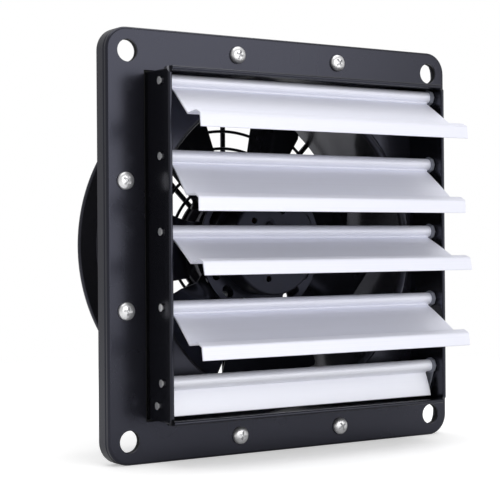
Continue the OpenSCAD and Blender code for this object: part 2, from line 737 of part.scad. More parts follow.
// Disc with windows in front of the blades
window_r = (cup_d / 2 + disc_d / 2) / 2;
module disc_window(len)
    translate([window_r, 0, -disc_z - cut]) linear_extrude(carrier_t + 2 * cut) {
        square([window_w, len], center = true);
        for (side = [-1, 1]) translate([0, side * len / 2]) circle(window_w / 2);
    }
module rotor_disc() color("#202024") facing() difference() {
    tube(disc_d / 2, cup_d / 2 + seat, -disc_z, -disc_z + carrier_t);
    for (k = [0:blade_count - 1]) rotate(first_blade + 360 / blade_count * k) {
        rotate(180 / blade_count) disc_window(window_w * 1.4);
        disc_window(window_w / 2);
    }
}

// Fan blades on their carrier ring
module blade_carrier() color("#202024") facing()
    difference() {
        tube(carrier_d / 2, cup_d / 2 + seat, -carrier_z, -carrier_z + carrier_t);
        at_blade_rivets() translate([0, 0, -carrier_z - cut])
            cylinder(r = blade_rivet_d / 2 + seat, h = carrier_t + 2 * cut);
    }
rivet_spread = blade_rivet_d * 3;
module at_blade_rivets()
    for (k = [0:blade_count - 1], side = [-1, 1])
        rotate(first_blade + 360 / blade_count * k)
            translate([rivet_r, side * rivet_spread, 0]) children();

// A cambered sheet along X, cut to a sector, with a flat riveted tab at its root
module fan_blade(k) color("#1c1c20") facing() rotate(first_blade + 360 / blade_count * (k - 1)) {
    tip_r = fan_d / 2;
    mid_z = -carrier_z + carrier_t + blade_t / 2;
    tab_in = cup_d / 2 + 4 * seat;
    tab_out = root_r + 4 * blade_t;
    half_w = tip_r * sin(blade_span / 2);
    root_w = root_r * sin(blade_span / 2);
    round_r = half_w * 0.3;
    intersection() {
        mirror([0, 1, 0]) translate([root_r + cut, 0, mid_z])
            rotate([90 - blade_pitch, 0, 0]) rotate([90, 0, 90])
            linear_extrude(tip_r) translate([camber_r, 0]) rotate(180) intersection() {
                difference() {
                    circle(camber_r + blade_t / 2, $fn = 360);
                    circle(camber_r - blade_t / 2, $fn = 360);
                }
                translate([0, -2 * half_w]) square([2 * camber_r, 4 * half_w]);
            }
        translate([0, 0, mid_z - 2 * half_w]) linear_extrude(4 * half_w) intersection() {
            circle(tip_r);
            union() {
                polygon([[root_r, -root_trail], [tip_r - round_r, -half_w * 0.99],
                         [tip_r - round_r, half_w * 0.99], [root_r, root_lead]]);
                translate([tip_r - round_r - cut, round_r - half_w])
                    square([round_r + cut, 2 * (half_w - round_r)]);
                for (side = [-1, 1]) translate([tip_r - round_r - cut, side * (half_w - round_r)])
                    circle(round_r);
            }
        }
    }
    translate([0, 0, mid_z - blade_t / 2]) difference() {
        linear_extrude(blade_t) intersection() {
            difference() {
                circle(tab_out);
                circle(tab_in);
            }
            translate([0, -root_w]) square([tip_r, 2 * root_w]);
        }
        for (side = [-1, 1]) translate([rivet_r, side * rivet_spread, -cut])
            cylinder(r = blade_rivet_d / 2 + seat, h = blade_t + 2 * cut);
    }
}
module blade_rivets() color("#77777f") facing() at_blade_rivets() {
    translate([0, 0, -carrier_z + carrier_t + blade_t])
        rivet(2 * blade_rivet_d, blade_rivet_d / 2, blade_rivet_d, carrier_t + blade_t);
    translate([0, 0, -carrier_z]) rotate([180, 0, 0])
        rivet(2 * blade_rivet_d, blade_rivet_d / 2, blade_rivet_d, seat);
}

front_plate();
louver_box();
flange_gasket();
housing_tray();
duct();
flange_screws();
flange_nuts();
louver(1);  // louver_1
louver(2);  // louver_2
louver(3);  // louver_3
louver(4);  // louver_4
louver_bushes(1);  // louver_1_bushes
louver_bushes(2);  // louver_2_bushes
louver_bushes(3);  // louver_3_bushes
louver_bushes(4);  // louver_4_bushes
bottom_slat();
slat_clips();
louver_rivets();
guard_rings();
guard_spokes();
motor_plate();
guard_screws();
motor_base();
stator_stack();
stator_windings();
front_bearing();
rear_bearing();
capacitor();
terminal_block();
motor_leads();
motor_screws();
cable_gland();
gland_nut();
gland_seal();
rotor_cup();
rotor_core();
rotor_hub();
motor_shaft();
shaft_clip();
hub_screws();
rotor_disc();
blade_carrier();
fan_blade(1);  // fan_blade_1
fan_blade(2);  // fan_blade_2
fan_blade(3);  // fan_blade_3
fan_blade(4);  // fan_blade_4
fan_blade(5);  // fan_blade_5
fan_blade(6);  // fan_blade_6
fan_blade(7);  // fan_blade_7
blade_rivets();
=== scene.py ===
"""Window exhaust fan: the looks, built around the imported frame."""

import json
import math

import bmesh
import bpy
from mathutils import Matrix, Vector


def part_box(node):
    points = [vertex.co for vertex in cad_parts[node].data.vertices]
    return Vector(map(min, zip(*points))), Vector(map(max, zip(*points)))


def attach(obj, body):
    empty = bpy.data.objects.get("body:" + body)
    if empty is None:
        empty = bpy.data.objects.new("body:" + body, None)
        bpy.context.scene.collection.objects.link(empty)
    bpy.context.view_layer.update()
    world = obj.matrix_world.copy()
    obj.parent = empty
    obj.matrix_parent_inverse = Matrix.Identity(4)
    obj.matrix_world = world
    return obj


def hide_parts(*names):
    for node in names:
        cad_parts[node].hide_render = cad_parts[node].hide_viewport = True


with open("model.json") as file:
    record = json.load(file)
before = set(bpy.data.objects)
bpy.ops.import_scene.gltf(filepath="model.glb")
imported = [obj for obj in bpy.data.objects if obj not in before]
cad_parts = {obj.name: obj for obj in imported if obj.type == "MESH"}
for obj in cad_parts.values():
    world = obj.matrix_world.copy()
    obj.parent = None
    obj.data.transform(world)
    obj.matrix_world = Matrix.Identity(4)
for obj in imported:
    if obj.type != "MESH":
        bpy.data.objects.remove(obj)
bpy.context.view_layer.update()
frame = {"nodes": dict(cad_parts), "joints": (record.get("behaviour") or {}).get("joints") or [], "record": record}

bl_info = {
    "name": "Window exhaust fan",
    "version": (1, 0, 0),
    "blender": (4, 5, 0),
    "location": "View3D > Sidebar > Exhaust fan",
    "description": "Builds a window exhaust fan with swinging louvers, and its studio",
    "category": "Object",
}

MM = 0.001
ROOT = "root"
ROTOR = "rotor"
LOUVER_COUNT = 4
BLADE_COUNT = 7


# Places read from the frame

JOINTS = {joint["name"]: joint["pos_m"] for joint in frame["joints"]}
# Each louver's pivot as (y, z)
PIVOTS = [tuple(JOINTS[f"louver_{k}_swing"][1:]) for k in range(1, LOUVER_COUNT + 1)]
SLOTS = {part["node"]: part["material_slot"] for part in frame["record"]["subparts"]}

PLATE_LOW, PLATE_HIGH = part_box("front_plate")
TRAY_LOW, TRAY_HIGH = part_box("housing_tray")
BOX_LOW, BOX_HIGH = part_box("louver_box")
DUCT_LOW, DUCT_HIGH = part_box("duct")
CUP_LOW, CUP_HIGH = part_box("rotor_cup")


# Sizes and colours that a user would change

def length(name, description, millimetres):
    return bpy.props.FloatProperty(name=name, description=description,
                                   default=millimetres * MM, min=0.0, unit="LENGTH")


def angle(name, description, degrees):
    return bpy.props.FloatProperty(name=name, description=description,
                                   default=math.radians(degrees), unit="ROTATION")


def colour(name, description, default):
    return bpy.props.FloatVectorProperty(name=name, description=description, default=default,
                                         size=3, min=0.0, max=1.0, subtype="COLOR")


def amount(name, description, default, top=1.0):
    return bpy.props.FloatProperty(name=name, description=description, default=default,
                                   min=0.0, max=top)


class FlangeSizes(bpy.types.PropertyGroup):
    corner: length("Corner radius", "Radius of the flange's corners", 16)
    sheet: length("Sheet", "Thickness of the pressed steel", 1.2)
    fold: length("Fold radius", "Outer radius of the folded edges", 2)
    burr: length("Edge rounding", "Rounding of cut sheet edges", 0.25)
    hole_spacing: length("Hole spacing", "Between the corner holes", 267.4)
    hole_r: length("Hole radius", "Radius of the corner holes", 7.65)
    screw_offset: length("Screw offset", "From the middle line to a flange screw", 44.5)
    screw_row: length("Screw row", "From the centre to a row of flange screws", 136.2)
    screw_hole_r: length("Screw hole", "Radius of the holes for the flange screws", 2.7)
    throat_r: length("Throat radius", "Radius of the tray's round opening", 116.6)
    opening_r: length("Opening corner", "Corner radius of the plate's opening", 0.6)


class BoxSizes(bpy.types.PropertyGroup):
    wall: length("Wall", "Thickness of the louver box's walls", 1.6)
    hem: length("Hem", "Thickness of the hem folded outwards at the front", 1.4)
    hem_depth: length("Hem depth", "Depth of that hem", 7)
    notch: length("Notch", "Slanted cut at the side walls' front corners", 5)
    bend: length("Bend radius", "Outer radius of the box's bent corners", 1.2)
    burr: length("Edge rounding", "Rounding of the box's edges", 0.35)


class LouverSizes(bpy.types.PropertyGroup):
    tube_r: length("Tube radius", "Outer radius of the edge tube", 4.5)
    bore_r: length("Bore radius", "Bore of the edge tube", 3.05)
    skin: length("Skin", "Thickness of the extruded skin", 1)
    blade: length("Blade", "Length of the blade", 33.5)
    arch: length("Arch", "Rise of the blade above a straight line", 0.4)
    slope: angle("Slope", "Slope of an open blade below the horizontal", 36)
    shelf: length("Shelf", "Length of the shelf in front of the valley", 11)
    shelf_rise: angle("Shelf rise", "How much the shelf rises forwards", 8)
    nose: length("Nose", "Length of the nose", 5.2)
    nose_drop: angle("Nose drop", "How much the nose drops forwards", 25)
    lip: length("Lip", "Height of the front lip", 8.6)
    lip_lean: angle("Lip lean", "How much the lip leans forwards", 7)
    inset: length("Tube inset", "How far the tube ends short of the lip", 1)
    root_inset: length("Root inset", "How far the blade's root ends short of the tube", 2)
    flare_r: length("Flare radius", "Where the blade's ends begin to slant outwards", 6.25)
    slat: length("Slat blade", "Length of the bottom slat's blade", 18.4)
    slat_slope: angle("Slat slope", "Slope of the closed bottom slat", 75.6)
    burr: length("Edge rounding", "Rounding of the cut ends", 0.12)


class FanSizes(bpy.types.PropertyGroup):
    tip_r: length("Tip radius", "Radius of the blade tips", 105.5)
    root_r: length("Root radius", "Radius where a blade leaves its flat tab", 50)
    root_lead: length("Root lead", "Width of a blade's root ahead of its middle line", 25)
    root_trail: length("Root trail", "Width of a blade's root behind it", 15)
    span: angle("Blade span", "Angle that a blade fills", 37)
    pitch: angle("Blade pitch", "Pitch of the blades", 26)
    camber_r: length("Camber radius", "Camber radius of the blades", 220)
    sheet: length("Blade sheet", "Thickness of the blades", 1)
    first: angle("First blade", "Where the first blade stands", 23)
    rib: length("Rib height", "Height of the pressed stiffening rib", 0.9)
    rib_half: length("Rib width", "Half the width of that rib", 3.2)
    tip_share: amount("Tip share", "Width of the tip as a share of its span", 0.985)
    window: length("Window", "Width of the windows in the disc before the blades", 7)


class Colours(bpy.types.PropertyGroup):
    plate: colour("Plates", "Powder coat of the plates", (0.008, 0.008, 0.011))
    black: colour("Black", "Black paint of the box, guard and blades", (0.004, 0.004, 0.005))
    # Lighter than the black of the box and guard: painted light, standing in for the light that reaches into the
    # duct
    duct: colour("Duct", "Black paint of the duct", (0.018, 0.018, 0.021))
    motor: colour("Motor", "Paint of the rotor cup", (0.012, 0.0115, 0.015))
    base: colour("Motor base", "Paint of the motor base", (0.13, 0.125, 0.145))
    louver: colour("Louvers", "Anodised aluminium", (0.82, 0.83, 0.92))
    # A lighter copy of the louvers' aluminium: painted light, for the light that falls on the slat below the
    # louvers
    slat: colour("Bottom slat", "Anodised aluminium of the slat", (0.885, 0.895, 0.99))
    zinc: colour("Screws", "Bright zinc plate", (0.92, 0.92, 0.93))
    bush: colour("Bushes", "Plastic of the bushes", (0.22, 0.23, 0.27))
    floor: colour("Floor", "Studio floor", (0.86, 0.86, 0.86))


class Studio(bpy.types.PropertyGroup):
    camera: bpy.props.FloatVectorProperty(
        name="Camera", description="Place of the camera", size=3, unit="LENGTH",
        default=(-592.34 * MM, -849.32 * MM, 0.30 * MM))
    yaw: angle("Yaw", "How far the camera turns from +Y towards +X", 33.284)
    pitch: angle("Pitch", "How far the camera looks up", 0.150)
    roll: angle("Roll", "How far the camera rolls", -0.416)
    lens: bpy.props.FloatProperty(name="Lens", description="Focal length in millimetres",
                                  default=101.5)
    key: amount("Overhead light", "Power of the large light above, in watts", 23.5, 500.0)
    side: amount("Front light", "Power of the light at the front right, in watts", 26.8, 500.0)
    sky: amount("Sky", "Strength of the pale surroundings", 0.5, 5.0)
    floor_lift: amount("Floor lift", "How much whiter the camera sees the floor", 0.42, 2.0)


# Meshes

def clamp(t):
    return max(0.0, min(1.0, t))


def polar(radius, turn):
    return radius * math.cos(turn), radius * math.sin(turn)


def circle(radius, count):
    return [polar(radius, 2 * math.pi / count * i) for i in range(count)]


def moved(points, place):
    return [(x + place[0], z + place[1]) for x, z in points]


def turned(points, turn):
    c, s = math.cos(turn), math.sin(turn)
    return [(x * c - z * s, x * s + z * c) for x, z in points]


def four_times(points):
    """The points, and again at each further quarter turn."""
    return [place for quarter in range(4) for place in turned(points, quarter * math.pi / 2)]


def arc(centre, radius, start, end, count):
    """Points on an arc, both ends included, angles in radians."""
    steps = range(count + 1)
    return moved([polar(radius, start + (end - start) * i / count) for i in steps], centre)


def rounded_square(half, radius, steps):
    points = []
    for quarter in range(4):
        turn = quarter * math.pi / 2
        middle_x = (half - radius) * (1 if quarter in (0, 3) else -1)
        middle_z = (half - radius) * (1 if quarter in (0, 1) else -1)
        points += arc((middle_x, middle_z), radius, turn, turn + math.pi / 2, steps)
    return points


def at_depth(points, y):
    return [(x, y, z) for x, z in points]


def ring_of(bm, points, y):
    return [bm.verts.new(point) for point in at_depth(points, y)]


def skirt(bm, loops):
    """Quads between each loop of vertices and the next."""
    for first, second in zip(loops, loops[1:]):
        count = len(first)
        for i in range(count):
            j = (i + 1) % count
            bm.faces.new((first[i], first[j], second[j], second[i]))


def fill(bm, loops):
    """Triangles in the flat area inside the first loop and outside the others."""
    edges = []
    for loop in loops:
        for a, b in zip(loop, loop[1:] + loop[:1]):
            edges.append(bm.edges.get((a, b)) or bm.edges.new((a, b)))
    bmesh.ops.triangle_fill(bm, edges=edges, use_beauty=True)


def done(bm):
    """The finished mesh, its faces turned outwards."""
    bmesh.ops.recalc_face_normals(bm, faces=bm.faces[:])
    mesh = bpy.data.meshes.new("piece")
    bm.to_mesh(mesh)
    bm.free()
    return mesh


def pressed(outline, edge, holes):
    """Closed sheet. outline(inset) gives the outer points, edge lists (inset, y) from the front
    flat round the fold to the back flat, and a hole is (outline(grow), [(grow, y), ...])."""
    bm = bmesh.new()
    loops = [ring_of(bm, outline(inset), y) for inset, y in edge]
    skirt(bm, loops)
    cuts = []
    for hole, walls in holes:
        rings = [ring_of(bm, hole(grow), y) for grow, y in walls]
        skirt(bm, rings)
        cuts.append(rings)
    fill(bm, [loops[0]] + [rings[0] for rings in cuts])
    fill(bm, [loops[-1]] + [rings[-1] for rings in cuts])
    return done(bm)


def through(y_front, sheet, burr):
    """Walls of a plain hole through a sheet, its edges a little rounded."""
    return [(burr, y_front), (0, y_front + burr), (0, y_front + sheet - burr),
            (burr, y_front + sheet)]


def folded_edge(fold, sheet, y_front, y_rear, burr):
    """(inset, y) from the front flat, round the fold and the rim, back to the inner flat."""
    turns = [math.pi / 2 * i / 6 for i in range(7)]
    outer = [(fold - fold * math.sin(a), y_front + fold - fold * math.cos(a)) for a in turns]
    bend = fold - sheet
    inner = [(fold - bend * math.sin(a), y_front + fold - bend * math.cos(a))
             for a in reversed(turns)]
    rim = [(0, y_rear - burr), (burr, y_rear), (sheet - burr, y_rear), (sheet, y_rear - burr)]
    return outer + rim + inner


def lathe(bm, profile, count):
    """Turns a closed profile of (radius, y) points round the fan's axis."""
    rings = [ring_of(bm, circle(r, count), y) for r, y in profile]
    skirt(bm, rings + rings[:1])


def solid(outlines):
    """A closed solid through outlines of (x, y, z) points, with flat ends."""
    bm = bmesh.new()
    rings = [[bm.verts.new(point) for point in outline] for outline in outlines]
    skirt(bm, rings)
    bm.faces.new(rings[0])
    bm.faces.new(rings[-1])
    return done(bm)


# Corners flatter than this stay as they are, and a bend has a point at least every facet
FLAT = math.radians(178)
FACET = math.radians(9)


def fillet(points, radii):
    """Rounds the inner corners of an open polyline; radii has one radius for each point."""
    out = [points[0]]
    for before, point, after, radius in zip(points, points[1:], points[2:], radii[1:]):
        p = Vector(point)
        u, v = (Vector(before) - p).normalized(), (Vector(after) - p).normalized()
        spread = math.acos(max(-1.0, min(1.0, u.dot(v))))
        if not radius or spread > FLAT:
            out.append(tuple(p))
            continue
        reach = radius / math.tan(spread / 2)
        centre = p + (u + v).normalized() * (radius / math.sin(spread / 2))
        start, end = p + u * reach - centre, p + v * reach - centre
        from_angle = math.atan2(start.y, start.x)
        sweep = math.atan2(start.x * end.y - start.y * end.x, start.dot(end))
        steps = max(3, round(abs(sweep) / FACET))
        out += arc(tuple(centre), radius, from_angle, from_angle + sweep, steps)
    out.append(points[-1])
    return out


def offset(points, distance):
    """The open polyline moved sideways, to its left for a positive distance."""
    out = []
    for i, point in enumerate(points):
        before = Vector(points[max(0, i - 1)])
        after = Vector(points[min(len(points) - 1, i + 1)])
        here = Vector(point)
        if 0 < i < len(points) - 1:
            d1, d2 = (here - before).normalized(), (after - here).normalized()
            along = (d1 + d2).normalized()
            stretch = 1 / max(0.3, along.dot(d1))
        else:
            along = (after - before).normalized()
            stretch = 1.0
        side = Vector((-along.y, along.x))
        out.append(tuple(here + side * distance * stretch))
    return out


def copies(mesh, transforms):
    """One mesh with a copy of the given one for each transform."""
    bm = bmesh.new()
    for transform in transforms:
        mesh.transform(transform)
        bm.from_mesh(mesh)
        mesh.transform(transform.inverted())
    return done(bm)


def add_object(name, mesh):
    thing = bpy.data.objects.new(name, mesh)
    bpy.context.scene.collection.objects.link(thing)
    return thing


def cut_away(mesh, cutters):
    """The mesh less the cutters' meshes."""
    body = add_object("cut_body", mesh)
    tools = [add_object("cutter", cutter) for cutter in cutters]
    for tool in tools:
        modifier = body.modifiers.new("cut", "BOOLEAN")
        modifier.operation = "DIFFERENCE"
        modifier.solver = "EXACT"
        modifier.object = tool
    graph = bpy.context.evaluated_depsgraph_get()
    result = bpy.data.meshes.new_from_object(body.evaluated_get(graph))
    for thing in [body] + tools:
        bpy.data.objects.remove(thing)
    return result


def soft_edges(thing, width):
    """Rounds the sharp edges by a width, and evens the shading."""
    if width:
        bevel = thing.modifiers.new("edges", "BEVEL")
        bevel.width = width
        bevel.segments = 2
        bevel.limit_method = "ANGLE"
        bevel.angle_limit = math.radians(50)
        bevel.harden_normals = True
    even = thing.modifiers.new("normals", "WEIGHTED_NORMAL")
    even.keep_sharp = True


def finish_piece(name, mesh, body, node, finish=None, crease=32, burr=0.0):
    """Adds the mesh as a piece that rides on a body and stands for a CAD node.

    Its finish is that of the node's slot unless another is named. Edges sharper than the crease
    angle stay sharp, and burr rounds them.
    """
    mesh.name = name
    mesh.shade_smooth()
    mesh.set_sharp_from_angle(angle=math.radians(crease))
    mesh.materials.clear()
    mesh.materials.append(finishes[finish or SLOTS[node]])
    thing = add_object(name, mesh)
    soft_edges(thing, burr)
    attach(thing, body)
    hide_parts(node)


# Shader graphs

class Wire:
    """An output of a shader node. Arithmetic on it adds Math nodes."""

    def __init__(self, graph, socket):
        self.graph = graph
        self.socket = socket

    def math(self, operation, *values):
        return self.graph.add("ShaderNodeMath", {"operation": operation}, dict(enumerate(values)))

    def __add__(self, other):
        return self.math("ADD", self, other)

    def __radd__(self, other):
        return self.math("ADD", other, self)

    def __mul__(self, other):
        return self.math("MULTIPLY", self, other)

    def __rmul__(self, other):
        return self.math("MULTIPLY", other, self)


class Graph:
    """The node tree of a material or a world."""

    def __init__(self, owner):
        self.owner = owner
        owner.use_nodes = True
        self.tree = owner.node_tree
        self.tree.nodes.clear()

    def add(self, kind, settings, inputs, output=0):
        """Adds a node: its settings first, then its inputs. Gives back one of its outputs."""
        node = self.tree.nodes.new(kind)
        for key, value in settings.items():
            setattr(node, key, value)
        for key, value in inputs.items():
            socket = node.inputs[key]
            if isinstance(value, Wire):
                self.tree.links.new(value.socket, socket)
            else:
                socket.default_value = value
        return Wire(self, node.outputs[output]) if node.outputs else None

    def place(self):
        return self.add("ShaderNodeTexCoord", {}, {}, "Object")

    def stretched(self, scale):
        return self.add("ShaderNodeVectorMath", {"operation": "MULTIPLY"},
                        {0: self.place(), 1: scale})

    def cloud(self, vector, scale, detail=3.0, roughness=0.5):
        return self.add("ShaderNodeTexNoise", {},
                        {"Vector": vector, "Scale": scale, "Detail": detail,
                         "Roughness": roughness})

    def shades(self, base, dark, light, factor):
        """The base colour, from a darker to a lighter share of it."""
        low, high = (tuple(min(1.0, c * share) for c in base) + (1.0,) for share in (dark, light))
        return self.add("ShaderNodeMix", {"data_type": "RGBA"}, {0: factor, 6: low, 7: high}, 2)

    def skin(self, colour, roughness, height, strength, distance, constants=()):
        """The material, as a surface with a bump; constants go to the shader's own sockets."""
        relief = self.add("ShaderNodeBump", {},
                          {"Height": height, "Strength": strength, "Distance": distance})
        inputs = {"Base Color": colour, "Roughness": roughness, "Normal": relief}
        inputs.update(constants)
        return self.output(self.add("ShaderNodeBsdfPrincipled", {}, inputs))

    def output(self, shader, kind="ShaderNodeOutputMaterial"):
        self.add(kind, {}, {"Surface": shader})
        return self.owner


def material_graph(name):
    return Graph(bpy.data.materials.new(name))


def powder_coat(name, base, rough, sheen=(0.76, 0.78, 1.0, 1.0)):
    """Baked paint: faint cloudiness, orange peel and a few dull patches."""
    g = material_graph(name)
    where = g.place()
    patches = g.cloud(where, 16.0, 4.0)
    peel = g.cloud(where, 620.0, 2.0)
    return g.skin(g.shades(base, 0.85, 1.2, patches), rough - 0.04 + patches * 0.08,
                  peel, 0.06, 0.0002, {"Specular IOR Level": 0.55, "Specular Tint": sheen})


def anodised(name, base):
    """Extruded aluminium with fine die lines along the profile, under a satin anodised skin."""
    g = material_graph(name)
    lines = g.cloud(g.stretched((1.5, 1300.0, 1300.0)), 1.0, 3.0, 0.6)
    patches = g.cloud(g.stretched((6.0, 30.0, 30.0)), 1.0)
    return g.skin(g.shades(base, 0.93, 1.06, lines * 0.6 + patches * 0.4),
                  0.40 + lines * 0.08 + patches * 0.06, lines, 0.12, 0.00005, {"Metallic": 0.3})


def plated(name, base, rough=0.26):
    """Bright plated steel with light handling marks."""
    g = material_graph(name)
    where = g.place()
    marks = g.cloud(where, 900.0, 4.0, 0.6)
    patches = g.cloud(where, 120.0, 2.0)
    return g.skin(g.shades(base, 0.88, 1.05, patches), rough + marks * 0.12,
                  marks, 0.08, 0.00005, {"Metallic": 0.8})


def moulded(name, base, rough, grain):
    """Moulded plastic or rubber with a fine grain."""
    g = material_graph(name)
    where = g.place()
    patches = g.cloud(where, 60.0, 2.0)
    grit = g.cloud(where, 1500.0, 2.0)
    return g.skin(g.shades(base, 0.88, 1.1, patches), rough - 0.05 + patches * 0.1,
                  grit, grain, 0.0001)


def laminated(name, base, pitch):
    """Stacked sheets or wound wire: bands across the fan's axis, a pitch apart."""
    g = material_graph(name)
    where = g.place()
    along = g.add("ShaderNodeSeparateXYZ", {}, {0: where}, "Y") * (1 / pitch)
    band = g.add("ShaderNodeMath", {"operation": "PINGPONG"}, {0: along, 1: 0.5}) * 2
    patches = g.cloud(where, 90.0)
    return g.skin(g.shades(base, 0.55, 1.1, band * 0.7 + patches * 0.3), 0.35 + patches * 0.15,
                  band, 0.6, 0.0003, {"Metallic": 0.9})


def cast(name, base):
    """Painted casting with a coarse skin."""
    g = material_graph(name)
    where = g.place()
    patches = g.cloud(where, 30.0, 4.0)
    grain = g.cloud(where, 420.0, 4.0, 0.6)
    return g.skin(g.shades(base, 0.8, 1.15, patches), 0.40 + patches * 0.12,
                  grain, 0.18, 0.0003, {"Specular Tint": (0.70, 0.74, 1.0, 1.0)})


finishes = {}


def make_finishes(colours):
    """All the fan's finishes: one for each of the record's slots, and some special ones."""
    for name, maker, *settings in (
            ("charcoal_paint", powder_coat, colours.plate, 0.27),
            ("black_paint", powder_coat, colours.black, 0.24),
            # The duct's black paint made lighter: painted light inside the duct
            ("duct_paint", powder_coat, colours.duct, 0.24),
            ("blade_paint", powder_coat, colours.black, 0.28, (0.45, 0.47, 0.66, 1.0)),
            ("motor_paint", cast, colours.motor),
            ("base_paint", cast, colours.base),
            ("louver_aluminium", anodised, colours.louver),
            # The louvers' aluminium made lighter for the slat: painted light
            ("slat_aluminium", anodised, colours.slat),
            ("bush_plastic", moulded, colours.bush, 0.35, 0.05),
            ("zinc_steel", plated, colours.zinc),
            ("bearing_steel", plated, (0.55, 0.55, 0.57), 0.15),
            ("stator_steel", laminated, (0.30, 0.30, 0.32), 1.0 * MM),
            ("copper", laminated, (0.62, 0.24, 0.10), 0.9 * MM),
            ("gasket_foam", moulded, (0.014, 0.014, 0.014), 0.9, 0.5),
            ("capacitor_shell", moulded, (0.72, 0.72, 0.68), 0.3, 0.03),
            ("block_plastic", moulded, (0.66, 0.62, 0.5), 0.45, 0.08),
            ("lead_insulation", moulded, (0.30, 0.03, 0.02), 0.35, 0.03),
            ("gland_plastic", moulded, (0.014, 0.014, 0.015), 0.42, 0.12),
            ("seal_rubber", moulded, (0.02, 0.02, 0.02), 0.8, 0.2)):
        finishes[name] = maker(name, *settings)


# Flange

def corner_places(spacing):
    half = spacing / 2
    return [(sx * half, sz * half) for sx in (-1, 1) for sz in (-1, 1)]


def flange_screw_places(sizes):
    return four_times([(side * sizes.screw_offset, sizes.screw_row) for side in (-1, 1)])


def round_hole(place, radius, count, walls):
    return (lambda grow: moved(circle(radius + grow, count), place), walls)


def plate_holes(sizes, walls):
    holes = [round_hole(p, sizes.hole_r, 48, walls) for p in corner_places(sizes.hole_spacing)]
    holes += [round_hole(p, sizes.screw_hole_r, 24, walls) for p in flange_screw_places(sizes)]
    return holes


class EXHAUSTFAN_OT_flange(bpy.types.Operator):
    """Builds the front plate and the housing tray behind it"""
    bl_idname = "exhaust_fan.flange"
    bl_label = "Flange"

    def execute(self, context):
        sizes = context.scene.exhaust_fan_flange

        def outline(inset):
            return rounded_square(PLATE_HIGH.x - inset, sizes.corner - inset, 10)

        def square(grow):
            return rounded_square(BOX_HIGH.x + grow, sizes.opening_r + grow, 4)

        def throat(grow):
            return circle(sizes.throat_r + grow, 160)

        for node, low, high, opening in (("front_plate", PLATE_LOW, PLATE_HIGH, square),
                                         ("housing_tray", TRAY_LOW, TRAY_HIGH, throat)):
            edge = folded_edge(sizes.fold, sizes.sheet, low.y, high.y, sizes.burr)
            walls = through(low.y, sizes.sheet, sizes.burr)
            sheet = pressed(outline, edge, plate_holes(sizes, walls) + [(opening, walls)])
            finish_piece(node + "_pressing", sheet, ROOT, node)
        return {"FINISHED"}


# Louver box

class EXHAUSTFAN_OT_louver_box(bpy.types.Operator):
    """Builds the louver box with its slanted front corners"""
    bl_idname = "exhaust_fan.louver_box"
    bl_label = "Louver box"

    def execute(self, context):
        sizes = context.scene.exhaust_fan_box
        half = BOX_HIGH.x
        front, rear = BOX_LOW.y, BOX_HIGH.y
        fold = (sizes.wall + sizes.hem) / 2
        outside = half - sizes.hem
        inside = half - 2 * fold
        hem_rear = front + sizes.hem_depth
        profile = [(half, hem_rear), (outside, hem_rear), (outside, rear), (inside, rear)]
        profile += arc((half - fold, front + fold), fold, math.pi, 2 * math.pi, 8)
        bm = bmesh.new()
        rings = []
        for at, y in profile:
            bend = max(sizes.bend - (outside - at), sizes.bend * 0.4)
            rings.append(ring_of(bm, rounded_square(at, bend, 5), y))
        skirt(bm, rings + rings[:1])
        cutters = []
        reach = half * 1.05
        slack = 0.02 * MM
        for side in (-1, 1):
            for up in (-1, 1):
                corner = [(front - sizes.notch, up * reach),
                          (front + sizes.notch, up * (half + slack)),
                          (front, up * (half - sizes.notch)),
                          (front - sizes.notch, up * (half - sizes.notch * 2))]
                cutters.append(solid([[(side * x, y, z) for y, z in corner]
                                      for x in (inside - slack, reach)]))
        walls = cut_away(done(bm), cutters)
        finish_piece("louver_box_walls", walls, ROOT, "louver_box", burr=sizes.burr)
        return {"FINISHED"}


# Louvers

# Where a blade's centre line leaves its tube, as (forward, up) shares of the tube's radius
ROOT_AT = Vector((0.28, -1.06))
# Bend radii at the valley, between shelf and nose, and between nose and lip
BENDS = [1.6 * MM, 3 * MM, 1.5 * MM]
# Round the tube: from above the blade's root, over the top, to below the root
TUBE_ARC = (math.radians(-54.9), math.radians(281.2))
# The bead in the corner between blade and tube, and how much of the blade it stands for
BEAD_ARC = (math.radians(-69.5), math.radians(49))
BEAD_REACH = 0.99 * MM


def blade_line(s, blade, with_lip):
    """Centre line of a louver's blade as (forward, up) points from the tube's underside."""
    upright = math.pi / 2 - s.slope
    radius = blade * blade / (8 * s.arch) + s.arch / 2
    half = math.asin(blade / 2 / radius)
    middle = ROOT_AT * s.tube_r + Vector(polar(blade / 2, -s.slope))
    centre = middle - Vector(polar(radius - s.arch, upright))
    steps = 14
    line = arc(tuple(centre), radius, upright + half, upright - half, steps)
    if not with_lip:
        return line
    for reach, rise in ((s.shelf, s.shelf_rise), (s.nose, -s.nose_drop),
                        (s.lip, s.lip_lean - math.pi / 2)):
        line += moved([polar(reach, rise)], line[-1])
    return fillet(line, [0.0] * steps + BENDS + [0.0])


